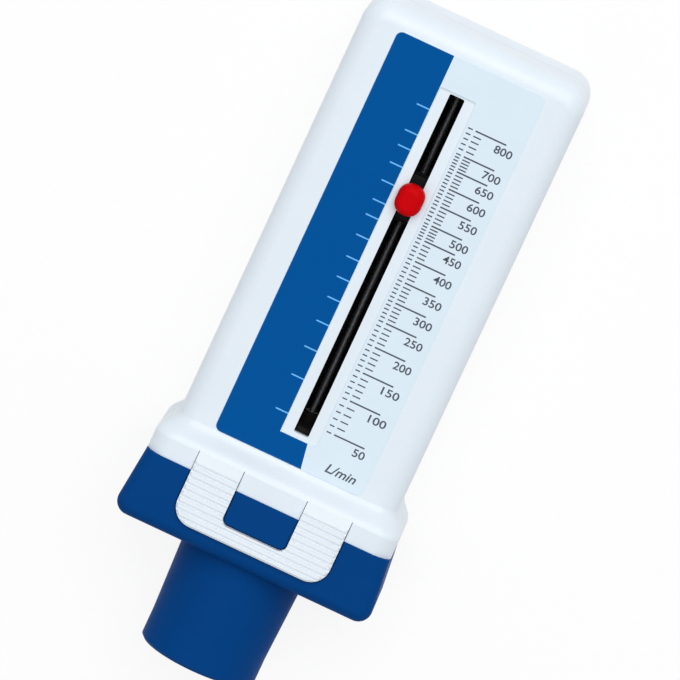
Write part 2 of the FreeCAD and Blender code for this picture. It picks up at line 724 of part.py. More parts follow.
def make_pointer():
    """The knob with its neck, the slide behind the slot and the two felt pads on it."""
    knob = new_body("pointer_knob", POINTER_REST, KNOB_BASE)
    outline = new_sketch(knob, "XY_Plane", "knob_outline")
    half_width, half_length = "knob_width / 2", "knob_length / 2"
    draw_outline(outline, rectangle(
        f"-{half_width}", half_width, f"-{half_length}", half_length, "knob_corner"))
    dome = pad(knob, "knob_block", outline, "knob_height")
    top = value("knob_height")
    fillet(knob, "knob_dome", dome, "knob_round",
           lambda box: near(box.ZMin, top) and near(box.ZMax, top))
    neck = new_sketch(knob, "XY_Plane", "neck_outline")
    draw_outline(neck, rectangle(
        "-slot_width / 2 + slide_gap", "slot_width / 2 - slide_gap",
        "-neck_length / 2", "neck_length / 2"))
    pad(knob, "neck", neck, f"{KNOB_BASE} - ({SHOE_BOTTOM})", Reversed=True)
    keep(knob)
    shoe = new_body("pointer_shoe", POINTER_REST, SHOE_BOTTOM)
    slide = new_sketch(shoe, "XY_Plane", "shoe_outline")
    draw_outline(slide, rectangle(
        f"-{SHOE_HALF}", SHOE_HALF, "-shoe_length / 2", "shoe_length / 2", "shoe_thickness"))
    draw_outline(slide, rectangle(
        "-slot_width / 2 + slide_gap", "slot_width / 2 - slide_gap",
        "-neck_length / 2", "neck_length / 2"))
    pad(shoe, "shoe_plate", slide, "shoe_thickness")
    keep(shoe)
    pads = new_body("pointer_pads", POINTER_REST, SHOE_TOP)
    felt = new_sketch(pads, "XY_Plane", "pad_outline")
    for side in ("-", ""):
        middle = f"{side}(neck_length / 2 + shoe_length / 2) / 2"
        draw_outline(felt, rectangle(
            f"-{SHOE_HALF} + slide_gap", f"{SHOE_HALF} - slide_gap",
            f"{middle} - pad_length / 2", f"{middle} + pad_length / 2"))
    pad(pads, "felt_pads", felt, "pad_thickness", AllowMultiFace=True)
    keep(pads)


def make_base():
    """The blue base: a box that tapers a little, open to the skirt."""
    body = new_body("base_cap")
    outline = new_sketch(body, "XY_Plane", "base_outline")
    draw_outline(outline, [
        (f"-{SKIRT_HALF}", "0"),
        (f"-{BASE_HALF}", "-base_height", "base_corner"),
        (BASE_HALF, "-base_height", "base_corner"),
        (SKIRT_HALF, "0")])
    block = pad(body, "base_block", outline, BASE_DEPTH)
    for side, level, radius in (("front", BASE_DEPTH, "base_round"), ("rear", "0", "rear_round")):
        def on_rim(box, level=value(level)):
            flat = near(box.ZMin, level) and near(box.ZMax, level)
            return flat and box.YMin < -0.01
        block = fillet(body, f"base_{side}_round", block, radius, on_rim)
    cavity = ring_section(body, "base_cavity_outline", "0", "0")
    pocket(body, "base_cavity", cavity, "base_height - wall", Reversed=True)
    hole = new_sketch(body, "XZ_Plane", "base_hole_outline")
    draw_circle(hole, f"{SLEEVE_RADIUS} + seat_clearance", up=AIR_HEIGHT)
    pocket(body, "base_hole", hole, "base_height + wall", Reversed=True)
    # The channel of the latch leaves the pad standing between its arms.
    channel = new_sketch(body, "XY_Plane", "latch_channel_outline",
                         offset=f"{BASE_DEPTH} - latch_recess")
    outer = "latch_width / 2 + slide_gap"
    inner = "latch_window / 2 - slide_gap"
    rounded = "latch_corner + slide_gap"
    pad_low = "-latch_window_depth + slide_gap"
    draw_outline(channel, [
        (f"-({outer})", "wall"), (f"-({outer})", f"-{LATCH_END} - slide_gap", rounded),
        (outer, f"-{LATCH_END} - slide_gap", rounded), (outer, "wall"), (inner, "wall"),
        (inner, pad_low, "latch_window_corner - slide_gap"),
        (f"-({inner})", pad_low, "latch_window_corner - slide_gap"), (f"-({inner})", "wall")])
    pocket(body, "latch_channel", channel, "wall", Reversed=True)
    keep(body)


def make_mouthpiece():
    """The tube, from its lip at the mouth to the seal at the inlet."""
    body = new_body("mouthpiece", "-base_height - mouthpiece_reach", AIR_HEIGHT)
    tip, root = "mouthpiece_tip / 2", "mouthpiece_root / 2"
    bore = f"{tip} - mouthpiece_wall"
    inner_end = f"base_height + mouthpiece_reach + {SPIDER_LOW} - gasket_thickness"
    snap = "mouthpiece_reach + wall + seat_clearance"
    snap_radius = f"{SLEEVE_RADIUS} + snap_height"
    revolve(body, "mouthpiece_form", [
        ("mouthpiece_lip", bore), ("0", f"{bore} + mouthpiece_lip"),
        ("0", f"{tip} - mouthpiece_lip"), ("mouthpiece_lip", tip),
        ("mouthpiece_land", tip),
        ("mouthpiece_reach", root), ("mouthpiece_reach", SLEEVE_RADIUS), (snap, SLEEVE_RADIUS),
        (snap, snap_radius), (f"{snap} + snap_thickness", SLEEVE_RADIUS),
        (inner_end, SLEEVE_RADIUS), (inner_end, BORE_RADIUS),
        ("mouthpiece_reach", BORE_RADIUS),
        (f"mouthpiece_reach + {BORE_RADIUS} - ({bore})", bore)])
    keep(body)


def make_gasket():
    body = new_body("mouthpiece_gasket", f"{SPIDER_LOW} - gasket_thickness", AIR_HEIGHT)
    revolve(body, "gasket_form", [
        ("0", BORE_RADIUS), ("gasket_thickness", BORE_RADIUS),
        ("gasket_thickness", SLEEVE_RADIUS), ("0", SLEEVE_RADIUS)])
    keep(body)


def make_latch():
    """The ribbed loop: two arms from the skirt and a bar under the base's pad."""
    body = new_body("latch")
    side = new_sketch(body, "YZ_Plane", "latch_side_outline")
    draw_outline(side, [
        ("latch_root", f"{SKIRT_DEPTH} - wall + slide_gap"),
        ("latch_root", f"{SKIRT_DEPTH}"),
        ("latch_root - latch_shoulder", LATCH_FRONT),
        (f"-{LATCH_END}", LATCH_FRONT),
        (f"-{LATCH_END}", LATCH_BACK),
        ("0", LATCH_BACK)])
    plate = pad(body, "latch_plate", side, "latch_width", Midplane=True)
    end = value(f"-{LATCH_END}")

    plate = fillet(body, "latch_corners", plate, "latch_corner",
                   lambda box: near(box.XLength, 0) and near(box.YMax, end))
    front = value(LATCH_FRONT)
    fillet(body, "latch_rim", plate, "latch_bevel", kind="Chamfer",
           chosen=lambda box: near(box.ZMin, front) and near(box.YMin, end))
    window = new_sketch(body, "XY_Plane", "latch_window_outline", offset=f"{SKIRT_DEPTH} - 2 * wall")
    half = "latch_window / 2"
    draw_outline(window, [
        (f"-{half}", "-latch_window_depth", "latch_window_corner"),
        (half, "-latch_window_depth", "latch_window_corner"),
        (half, "latch_root + wall"), (f"-{half}", "latch_root + wall")])
    pocket(body, "latch_window_cut", window, "5 * wall", Reversed=True)
    groove = new_sketch(body, "YZ_Plane", "rib_groove_outline")
    middle = "latch_root - rib_start"
    draw_outline(groove, [
        (f"{middle} - rib_groove / 2", f"{LATCH_FRONT} + rib_depth"),
        (f"{middle} - rib_groove / 4", f"{LATCH_FRONT} - rib_depth"),
        (f"{middle} + rib_groove / 4", f"{LATCH_FRONT} - rib_depth"),
        (f"{middle} + rib_groove / 2", f"{LATCH_FRONT} + rib_depth")])
    first = pocket(body, "rib_groove_cut", groove)
    grooves = body.newObject("PartDesign::LinearPattern", "rib_grooves")
    grooves.Originals = [first]
    y_axis = next(f for f in body.Origin.OriginFeatures if f.Role == "Y_Axis")
    grooves.Direction = (y_axis, [""])
    grooves.Reversed = True
    count = int((value(f"{LATCH_END} + {middle} - latch_bevel")) // value("rib_pitch")) + 1
    grooves.Occurrences = count
    grooves.setExpression("Length", bound(f"rib_pitch * {count - 1}"))
    body.Tip = grooves
    doc.recompute()
    keep(body)


make_shells()
make_label()
make_barrel()
make_end_cap()
make_spider()
make_rod()
make_clips()
make_piston()
make_buffer()
make_spring()
make_pointer()
make_base()
make_mouthpiece()
make_gasket()
make_latch()
doc.recompute()

for thing in doc.Objects:
    if {"Invalid", "Error"} & set(thing.State):
        raise ValueError(f"{thing.Label} failed: {thing.State}")
for node in NODES:
    if node.Shape.isNull() or not node.Shape.isValid():
        raise ValueError(f"{node.Label} has no valid shape")

os.makedirs("parts", exist_ok=True)
for node in NODES:
    node.Shape.exportStep(f"parts/{node.Label}.step")
    print(node.Label, len(node.Shape.Solids), round(node.Shape.Volume, 1))
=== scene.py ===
"""Dresses a pocket peak flow meter: its printed scale, its finishes, its spring and the studio round it."""

import math

import bmesh
import bpy
from bpy.props import FloatProperty, FloatVectorProperty, IntProperty, PointerProperty, StringProperty
from bpy.types import Operator, Panel, PropertyGroup
from mathutils import Matrix, Vector


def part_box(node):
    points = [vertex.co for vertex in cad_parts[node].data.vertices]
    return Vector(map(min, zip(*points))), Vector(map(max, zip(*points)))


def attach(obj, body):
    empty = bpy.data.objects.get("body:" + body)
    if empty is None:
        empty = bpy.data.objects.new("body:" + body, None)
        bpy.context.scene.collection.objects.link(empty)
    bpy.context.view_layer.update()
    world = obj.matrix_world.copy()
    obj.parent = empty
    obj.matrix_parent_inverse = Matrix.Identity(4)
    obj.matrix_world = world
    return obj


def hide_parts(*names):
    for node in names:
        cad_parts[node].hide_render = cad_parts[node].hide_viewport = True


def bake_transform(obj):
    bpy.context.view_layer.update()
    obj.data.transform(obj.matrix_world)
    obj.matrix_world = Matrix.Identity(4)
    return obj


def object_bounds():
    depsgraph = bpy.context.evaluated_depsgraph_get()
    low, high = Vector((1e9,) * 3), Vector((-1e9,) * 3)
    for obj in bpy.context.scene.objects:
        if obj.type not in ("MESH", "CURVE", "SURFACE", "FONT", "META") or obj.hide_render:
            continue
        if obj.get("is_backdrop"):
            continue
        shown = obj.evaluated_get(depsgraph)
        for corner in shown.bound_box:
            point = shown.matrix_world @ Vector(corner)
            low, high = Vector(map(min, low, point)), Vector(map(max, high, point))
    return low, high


bl_info = {
    "name": "Peak Flow Meter",
    "version": (1, 0, 0),
    "blender": (4, 5, 0),
    "location": "3D View > Sidebar > Flow Meter",
    "description": "Prints, paints and lights a pocket peak flow meter on its measured frame",
    "category": "Object",
}

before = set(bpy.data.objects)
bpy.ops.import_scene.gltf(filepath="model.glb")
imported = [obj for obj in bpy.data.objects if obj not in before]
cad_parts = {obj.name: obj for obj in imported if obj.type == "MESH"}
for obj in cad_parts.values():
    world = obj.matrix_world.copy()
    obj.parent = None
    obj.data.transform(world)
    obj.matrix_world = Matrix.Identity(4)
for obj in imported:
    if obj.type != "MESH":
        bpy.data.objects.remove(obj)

MM = 0.001


def srgb(red, green, blue):
    """A colour picker's red, green and blue, each 0 to 255, as the linear numbers that shaders take."""
    shares = (channel / 255 for channel in (red, green, blue))
    return tuple(s / 12.92 if s <= 0.04045 else ((s + 0.055) / 1.055) ** 2.4 for s in shares)


def length(label, help_text, millimetres):
    """A length property in metres, written here in millimetres."""
    return FloatProperty(
        name=label, description=help_text, default=millimetres * MM,
        unit="LENGTH", subtype="DISTANCE", precision=5)


def paint(label, help_text, colour):
    """A colour property, written here as the colour picker shows it."""
    return FloatVectorProperty(
        name=label, description=help_text, default=srgb(*colour),
        subtype="COLOR", size=3, min=0, max=1)


class MeterPrint(PropertyGroup):
    """Sizes of what is printed, across from the label's middle and up from its lower edge."""

    ink_thickness: length("Ink thickness", "How far the ink stands on the film", 0.02)
    field_margin: length("Field margin", "White edge left round the blue field", 0.07)
    field_corner: length("Field corner", "Radius of the blue field's outer corners", 1.5)
    foot_reach: length("Foot reach", "How far the blue foot passes the middle", 2.3)
    foot_slant: length("Foot slant", "How much further the foot reaches at its lower edge", 1.0)
    lowest_mark: length("Lowest mark", "Height of the 50 mark", 10.47)
    line_steps: FloatVectorProperty(
        name="Line steps", description="Distances between the numbered lines, from the 50 mark up",
        default=[step * MM for step in (
            8.52, 7.05, 6.46, 5.98, 5.08, 5.09, 5.4, 5.09, 3.77, 4.74, 4.46, 4.32, 3.74, 6.38)],
        unit="LENGTH", size=14)
    row_thickness: length("Row thickness", "Thickness of the short dashes", 0.3)
    line_thickness: length("Line thickness", "Thickness of the numbered lines", 0.36)
    inner_dash: length("Inner dash", "Where the inner column of dashes begins", 5.0)
    inner_dash_length: length("Inner dash length", "Length of the inner dashes", 1.15)
    outer_dash: length("Outer dash", "Where the outer column of dashes begins", 6.85)
    outer_dash_length: length("Outer dash length", "Length of the outer dashes", 1.9)
    line_end: length("Line end", "Where the numbered lines end", 14.4)
    tick_length: length("Tick length", "Length of the pale ticks beside the slot", 3.1)
    tick_thickness: length("Tick thickness", "Thickness of the pale ticks", 0.3)
    number_left: length("Number left", "Left edge of the numbers", 12.3)
    number_width: length("Number width", "Width of a number of three digits", 4.3)
    number_height: length("Number height", "Height of the digits", 1.9)
    weight: FloatProperty(
        name="Weight", description="How much bolder the letters are, as a share of their size",
        default=0.015, min=0)
    number_drop: length("Number drop", "How far a number's middle is under its line", 1.75)
    unit_left: length("Unit left", "Left edge of the unit", 8.3)
    unit_width: length("Unit width", "Width of the unit's letters", 7.4)
    unit_height: length("Unit height", "Height of the unit's letters", 2.2)
    unit_middle: length("Unit middle", "Height of the unit's middle", 3.0)
    unit_slant: FloatProperty(
        name="Unit slant", description="Lean of the unit's letters", default=0.25, min=0, max=1)
    unit_text: StringProperty(name="Unit", description="Unit of the scale", default="L/min")


class MeterHinge(PropertyGroup):
    """The thin webs at the roots of the latch's arms, where it bends."""

    web_depth: length("Web depth", "Thickness of the webs, in from the skirt's face", 1.2)
    web_hold: length("Web hold", "How far the webs reach into the skirt and the arms", 0.05)


class MeterSpring(PropertyGroup):
    """The soft spring that brings the vane back."""

    wire: length("Wire", "Thickness of the spring's wire", 0.34)
    turns: IntProperty(name="Turns", description="Number of turns", default=26, min=6, max=60)
    points_per_turn: IntProperty(
        name="Points per turn", description="Points of the coil in each turn", default=12, min=8, max=24)


class MeterFinish(PropertyGroup):
    """Colours of the mouldings, the label and the works."""

    case_white: paint("Case", "Cool white of the case mouldings", (228, 238, 247))
    # Painted shade: this grey drawn along the seam stands in for the shade in the gap between the shells.
    seam_grey: paint("Seam", "Shade in the hairline where the two shells meet", (120, 128, 136))
    seam_width: length("Seam width", "Width of the hairline where the two shells meet", 0.16)
    label_white: paint("Label", "Cool white of the label film", (220, 237, 249))
    field_blue: paint("Field", "Blue printed on the label", (2, 84, 156))
    ink_black: paint("Ink", "Dark grey of the printed scale", (56, 66, 80))
    tick_blue: paint("Ticks", "Pale blue of the ticks on the field", (98, 189, 255))
    base_blue: paint("Base", "Blue of the base and the mouthpiece", (6, 66, 132))
    latch_white: paint("Latch", "White of the latch", (234, 242, 249))
    pointer_red: paint("Pointer", "Red of the pointer", (204, 4, 12))
    shoe_black: paint("Shoe", "Black of the pointer's slide", (16, 14, 14))
    works_black: paint("Works", "Black of the tube and the vane", (40, 37, 36))
    rubber_black: paint("Rubber", "Black of the rubber rings", (26, 26, 27))
    steel: paint("Steel", "Dull steel of the rod, its clips and the spring", (130, 132, 136))
    felt_black: paint("Felt", "Black of the pointer's felt pads", (30, 29, 30))
    # Painted shade: the bush's white is greyed so that it reads as shaded deep in the tube.
    bush_white: paint("Bush", "Greyed white of the vane's bush", (150, 148, 140))


class MeterStudio(PropertyGroup):
    """The camera, turned as the meter was photographed, and the lamps."""

    aim: FloatVectorProperty(
        name="Aim", description="Point that the camera looks at",
        default=(-1.074 * MM, 2.717 * MM, 20 * MM), subtype="XYZ", unit="LENGTH", size=3)
    distance: length("Distance", "From the camera to the point it looks at", 1753.6)
    lens: FloatProperty(name="Lens", description="Focal length in millimetres", default=411.0, min=1)
    tilt: FloatProperty(
        name="Tilt", description="Lean of the view towards the case's top",
        default=math.radians(10.02), unit="ROTATION", subtype="ANGLE")
    pan: FloatProperty(
        name="Pan", description="Lean of the view towards the case's right side",
        default=math.radians(0.673), unit="ROTATION", subtype="ANGLE")
    roll: FloatProperty(
        name="Roll", description="Turn of the picture about the line of sight",
        default=math.radians(24.943), unit="ROTATION", subtype="ANGLE")
    key_watts: FloatProperty(
        name="Key", description="Power of the lamp over the case's top", default=22, min=0)
    key_place: FloatVectorProperty(
        name="Key place", description="Where the lamp over the case's top hangs",
        default=(0.1, 1.0, 1.55), subtype="XYZ", unit="LENGTH", size=3)
    key_width: length("Key width", "Width of the lamp over the case's top", 1600)
    fill_watts: FloatProperty(
        name="Fill", description="Power of the lamp over the mouthpiece", default=5, min=0)
    fill_place: FloatVectorProperty(
        name="Fill place", description="Where the lamp over the mouthpiece hangs",
        default=(-0.3, -0.9, 1.8), subtype="XYZ", unit="LENGTH", size=3)
    fill_width: length("Fill width", "Width of the lamp over the mouthpiece", 1200)
    sky: FloatProperty(name="Sky", description="Strength of the even light all round", default=0.42, min=0)
    floor_glow: FloatProperty(
        name="Floor glow", description="Share of plain white in the floor, as the camera sees it",
        default=0.88, min=0, max=1)
    floor_size: length("Floor size", "Width of the floor", 6000)
    floor_gap: length("Floor gap", "How far the floor lies under the meter", 0.05)


def add_node(material, kind, **settings):
    """A shader node of the material with its settings."""
    node = material.node_tree.nodes.new(kind)
    for name, value in settings.items():
        setattr(node, name, value)
    return node


def join(material, source, target):
    """Links an output socket to an input socket."""
    material.node_tree.links.new(source, target)


def new_finish(name, **values):
    """A material, its shader with the given values, and the object's own coordinates."""
    material = bpy.data.materials.new(name)
    material.use_nodes = True
    shader = material.node_tree.nodes["Principled BSDF"]
    for socket, value in values.items():
        shader.inputs[socket.replace("_", " ")].default_value = value
    place = add_node(material, "ShaderNodeTexCoord").outputs["Object"]
    return material, shader, place


def noise(material, place, per_metre, detail=3.0, roughness=0.55, stretch=(1, 1, 1)):
    """Noise over the object's own coordinates, with so many features in a metre."""
    turned = add_node(material, "ShaderNodeMapping")
    turned.inputs["Scale"].default_value = stretch
    join(material, place, turned.inputs["Vector"])
    texture = add_node(material, "ShaderNodeTexNoise")
    texture.inputs["Scale"].default_value = per_metre
    texture.inputs["Detail"].default_value = detail
    texture.inputs["Roughness"].default_value = roughness
    join(material, turned.outputs["Vector"], texture.inputs["Vector"])
    return texture.outputs["Fac"]


def between(material, factor, low, high):
    """The factor spread from low to high, for a roughness that wanders."""
    most_noise = (0.3, 0.7)
    spread = add_node(material, "ShaderNodeMapRange")
    spread.inputs["From Min"].default_value = most_noise[0]
    spread.inputs["From Max"].default_value = most_noise[1]
    spread.inputs["To Min"].default_value = low
    spread.inputs["To Max"].default_value = high
    join(material, factor, spread.inputs["Value"])
    return spread.outputs["Result"]


def tinted(material, shader, factor, colour, shade):
    """Base colour that wanders between the colour and its shade."""
    mix = add_node(material, "ShaderNodeMix", data_type="RGBA")
    mix.inputs["A"].default_value = (*(c * shade for c in colour), 1)
    mix.inputs["B"].default_value = (*colour, 1)
    join(material, between(material, factor, 0, 1), mix.inputs["Factor"])
    join(material, mix.outputs["Result"], shader.inputs["Base Color"])


def embossed(material, shader, height, depth):
    """Bump from a height, whose full depth is in metres."""
    bump = add_node(material, "ShaderNodeBump")
    bump.inputs["Strength"].default_value = 1
    bump.inputs["Distance"].default_value = depth
    join(material, height, bump.inputs["Height"])
    join(material, bump.outputs["Normal"], shader.inputs["Normal"])


def moulded(name, colour, gloss=(0.32, 0.42), grain=2600, depth=0.004 * MM, shade=0.96, **values):
    """Injection-moulded plastic: a fine spark-eroded grain and faint flow marks."""
    material, shader, place = new_finish(name, IOR=1.5, **values)
    tinted(material, shader, noise(material, place, 45, 4), colour, shade)
    join(material, between(material, noise(material, place, 120), *gloss), shader.inputs["Roughness"])
    embossed(material, shader, noise(material, place, grain, 2), depth)
    return material


def scored(material, height, width, shade):
    """Darkens a moulded finish on a hairline round the piece, where two mouldings meet: painted shade
    standing in for the gap between them.
    """
    shader = material.node_tree.nodes["Principled BSDF"]
    painted = shader.inputs["Base Color"].links[0].from_socket
    place = add_node(material, "ShaderNodeTexCoord").outputs["Object"]
    axes = add_node(material, "ShaderNodeSeparateXYZ")
    on_line = add_node(material, "ShaderNodeMath", operation="COMPARE")
    on_line.inputs[1].default_value = height
    on_line.inputs[2].default_value = width / 2
    mix = add_node(material, "ShaderNodeMix", data_type="RGBA")
    mix.inputs["B"].default_value = (*shade, 1)
    join(material, place, axes.inputs["Vector"])
    join(material, axes.outputs["Z"], on_line.inputs[0])
    join(material, on_line.outputs["Value"], mix.inputs["Factor"])
    join(material, painted, mix.inputs["A"])
    join(material, mix.outputs["Result"], shader.inputs["Base Color"])


def film(name, colour, gloss=(0.16, 0.24), shade=0.985, **values):
    """Printed polyester film with the slight unevenness of its glue."""
    material, shader, place = new_finish(name, IOR=1.52, **values)
    tinted(material, shader, noise(material, place, 90, 3), colour, shade)
    join(material, between(material, noise(material, place, 300), *gloss), shader.inputs["Roughness"])
    embossed(material, shader, noise(material, place, 160, 2), 0.006 * MM)
    return material


def drawn_steel(name, colour):
    """Steel wire and rod with fine drawing marks along it."""
    material, shader, place = new_finish(name, Metallic=1.0)
    marks = noise(material, place, 9000, 2, stretch=(1, 0.02, 1))
    tinted(material, shader, marks, colour, 0.86)
    join(material, between(material, marks, 0.5, 0.62), shader.inputs["Roughness"])
    embossed(material, shader, marks, 0.002 * MM)
    return material


def rubber(name, colour):
    """Dull rubber with a bloom."""
    material, shader, place = new_finish(name, IOR=1.45)
    tinted(material, shader, noise(material, place, 700, 4), colour, 0.7)
    join(material, between(material, noise(material, place, 900), 0.62, 0.82), shader.inputs["Roughness"])
    embossed(material, shader, noise(material, place, 4200, 3), 0.01 * MM)
    return material


def felt(name, colour):
    """Pressed wool felt with loose fibres."""
    material, shader, place = new_finish(
        name, Roughness=0.95, Specular_IOR_Level=0.1, Sheen_Weight=0.05, Sheen_Roughness=0.5)
    fibres = noise(material, place, 5200, 5, 0.7, stretch=(1, 2.6, 1))
    tinted(material, shader, fibres, colour, 0.62)
    embossed(material, shader, fibres, 0.05 * MM)
    return material


def wear(node_names, material):
    """Gives the frame's pieces a finish."""
    for name in node_names:
        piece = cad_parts[name]
        piece.data.materials.clear()
        piece.data.materials.append(material)


def finished(name, bm, material, body="root"):
    """A new piece from a bmesh that is already in its place, riding on a body unless it is None."""
    bmesh.ops.recalc_face_normals(bm, faces=bm.faces)
    mesh = bpy.data.meshes.new(name)
    bm.to_mesh(mesh)
    bm.free()
    mesh.materials.append(material)
    piece = bpy.data.objects.new(name, mesh)
    bpy.context.scene.collection.objects.link(piece)
    if body:
        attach(piece, body)
    return piece


def film_top():
    """Height of the label's printed face."""
    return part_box("scale_label")[1].z


def film_foot():
    """Lower edge of the label."""
    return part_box("scale_label")[0].y


def window_corner():
    """Lower left corner of the label's window, just outside its edge."""
    clear = 0.08 * MM
    beside_window = 8 * MM
    below_window_top = 40 * MM
    above_foot = film_foot() + MM
    corners = [
        v.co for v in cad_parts["scale_label"].data.vertices
        if abs(v.co.x) < beside_window and above_foot < v.co.y < below_window_top]
    return min(co.x for co in corners) - clear, min(co.y for co in corners) - clear


def scale_ink(context):
    """Dark ink of the scale, shared by the lines and the numbers."""
    found = bpy.data.materials.get("ink_black")
    return found or film("ink_black", context.scene.meter_finish.ink_black, (0.22, 0.3))


def bar(bm, left, right, middle, thickness, ink):
    """One printed bar, from left to right at a height, sunk by its own thickness into the film."""
    size = Vector((right - left, thickness, 2 * ink))
    centre = Vector(((left + right) / 2, middle, film_top()))
    bmesh.ops.create_cube(bm, size=1, matrix=Matrix.LocRotScale(centre, None, size))


def numbered_flows():
    """Every 50 litres a minute to 700, and 800."""
    return [*range(50, 701, 50), 800]


def mark_height(flow, sizes):
    """Height of a flow on the scale, shared out evenly between the numbered lines beside it."""
    flows = numbered_flows()
    below = max(place for place, numbered in enumerate(flows[:-1]) if numbered <= flow)
    share = (flow - flows[below]) / (flows[below + 1] - flows[below])
    climb = sum(sizes.line_steps[:below]) + share * sizes.line_steps[below]
    return film_foot() + sizes.lowest_mark + climb


def all_flows():
    """Every 10 litres a minute to 700, and every 20 above."""
    return [*range(50, 701, 10), *range(720, 801, 20)]


def letters(bm, text, left, middle, height, ink, weight, width, slant=0.0):
    """Printed letters with their left edge, middle height, height, weight and width given."""
    curve = bpy.data.curves.new(text, "FONT")
    curve.body = text
    curve.shear = slant
    # Half a unit to each side, so that the letters are one unit thick before they are scaled.
    curve.extrude = 0.5
    curve.offset = weight
    curve.resolution_u = 4
    writer = bpy.data.objects.new(text, curve)
    bpy.context.scene.collection.objects.link(writer)
    bpy.context.view_layer.update()
    mesh = bpy.data.meshes.new_from_object(writer.evaluated_get(bpy.context.evaluated_depsgraph_get()))
    corners = [vertex.co for vertex in mesh.vertices]
    low = Vector(min(corner[axis] for corner in corners) for axis in range(3))
    high = Vector(max(corner[axis] for corner in corners) for axis in range(3))
    tall = height / (high.y - low.y)
    wide = width / (high.x - low.x)
    place = Vector((left - low.x * wide, middle - (low.y + high.y) / 2 * tall, film_top()))
    mesh.transform(Matrix.LocRotScale(place, None, Vector((wide, tall, 2 * ink))))
    bm.from_mesh(mesh)
    bpy.data.objects.remove(writer)
    bpy.data.curves.remove(curve)
    bpy.data.meshes.remove(mesh)


class MeterPaintCase(Operator):
    """Finish the two case shells and the latch in white plastic"""

    bl_idname = "meter.paint_case"
    bl_label = "Paint the Case"

    def execute(self, context):
        colours = context.scene.meter_finish
        white = moulded("case_white", colours.case_white, shade=0.975)
        # Painted shade: a dark hairline along the seam where the two shells meet.
        scored(white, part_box("front_shell")[0].z, colours.seam_width, colours.seam_grey)
        wear(["front_shell", "rear_shell"], white)
        wear(["latch"], moulded("latch_white", colours.latch_white, (0.28, 0.36), 3200, shade=0.98))
        return {"FINISHED"}


class MeterPaintBase(Operator):
    """Finish the base and the mouthpiece in blue plastic"""

    bl_idname = "meter.paint_base"
    bl_label = "Paint the Base"

    def execute(self, context):
        colours = context.scene.meter_finish
        blue = moulded("base_blue", colours.base_blue, (0.4, 0.5), 2200, Specular_IOR_Level=0.015)
        wear(["base_cap", "mouthpiece"], blue)
        return {"FINISHED"}


class MeterPaintPointer(Operator):
    """Finish the pointer: red knob, black slide and felt pads"""

    bl_idname = "meter.paint_pointer"
    bl_label = "Paint the Pointer"

    def execute(self, context):
        colours = context.scene.meter_finish
        red = moulded("pointer_red", colours.pointer_red, (0.36, 0.44), 3000, Specular_IOR_Level=0.03)
        wear(["pointer_knob"], red)
        shoe = moulded("shoe_black", colours.shoe_black, (0.5, 0.6), Specular_IOR_Level=0.02)
        wear(["pointer_shoe"], shoe)
        wear(["pointer_pads"], felt("felt", colours.felt_black))
        return {"FINISHED"}


class MeterPaintWorks(Operator):
    """Finish the tube, the vane, the rod and the rubber rings"""

    bl_idname = "meter.paint_works"
    bl_label = "Paint the Works"

    def execute(self, context):
        colours = context.scene.meter_finish
        works = ["barrel", "barrel_end_cap", "inlet_spider", "piston"]
        black = moulded("works_black", colours.works_black, (0.42, 0.55), 1800, Specular_IOR_Level=0.07)
        wear(works, black)
        wear(["guide_rod", "rod_clips"], drawn_steel("steel", colours.steel))
        wear(["stroke_buffer", "mouthpiece_gasket"], rubber("rubber_black", colours.rubber_black))
        # Painted shade: the bush wears a greyed white, for the shade deep in the tube.
        wear(["piston_bush"], moulded("bush_white", colours.bush_white, (0.4, 0.5), Subsurface_Weight=0.1))
        return {"FINISHED"}


class MeterMouldHinge(Operator):
    """Mould the webs that join the latch's two arms to the skirt"""

    bl_idname = "meter.mould_hinge"
    bl_label = "Mould the Hinge"

    def execute(self, context):
        sizes = context.scene.meter_hinge
        arm_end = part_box("latch")[1].y
        hair, gap_at_most, bulge_at_most = 0.01 * MM, 0.3 * MM, 0.1 * MM
        ends = [v.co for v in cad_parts["latch"].data.vertices if v.co.y > arm_end - hair]
        inner, outer = min(abs(co.x) for co in ends), max(abs(co.x) for co in ends)
        top = max(co.z for co in ends)
        notch = [
            v.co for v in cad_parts["front_shell"].data.vertices
            if 0 < v.co.y - arm_end < gap_at_most and v.co.z > top - bulge_at_most]
        skirt = min(notch, key=lambda co: co.y)
        size = Vector((outer - inner, skirt.y - arm_end + 2 * sizes.web_hold, sizes.web_depth))
        bm = bmesh.new()
        for side in (-1, 1):
            centre = Vector((side * (inner + outer) / 2, (skirt.y + arm_end) / 2, skirt.z - size.z / 2))
            bmesh.ops.create_cube(bm, size=1, matrix=Matrix.LocRotScale(centre, None, size))
        web = finished("hinge_webs", bm, bpy.data.materials["latch_white"], None)
        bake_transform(web)
        return {"FINISHED"}


class MeterPrintField(Operator):
    """Print the blue field beside and under the slot, on the white film"""

    bl_idname = "meter.print_field"
    bl_label = "Print the Blue Field"

    def execute(self, context):
        sizes = context.scene.meter_print
        colours = context.scene.meter_finish
        wear(["scale_label"], film("label_film", colours.label_white))
        low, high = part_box("scale_label")
        window_left, window_foot = window_corner()
        left, foot = low.x + sizes.field_margin, low.y + sizes.field_margin
        top = high.y - sizes.field_margin
        corners = [
            (left, foot), (sizes.foot_reach + sizes.foot_slant, foot), (sizes.foot_reach, window_foot),
            (window_left, window_foot), (window_left, top), (left, top)]
        bm = bmesh.new()
        points = [bm.verts.new((x, y, high.z - sizes.ink_thickness)) for x, y in corners]
        bm.faces.new(points)
        bmesh.ops.bevel(
            bm, geom=[points[0], points[-1]], offset=sizes.field_corner, segments=8,
            profile=0.5, affect="VERTICES", material=-1)
        raised = bmesh.ops.extrude_face_region(bm, geom=bm.faces[:])["geom"]
        lifted = [item for item in raised if isinstance(item, bmesh.types.BMVert)]
        bmesh.ops.translate(bm, verts=lifted, vec=(0, 0, 2 * sizes.ink_thickness))
        blue = film("field_blue", colours.field_blue, (0.3, 0.4), Specular_IOR_Level=0.02)
        finished("print_field", bm, blue)
        return {"FINISHED"}


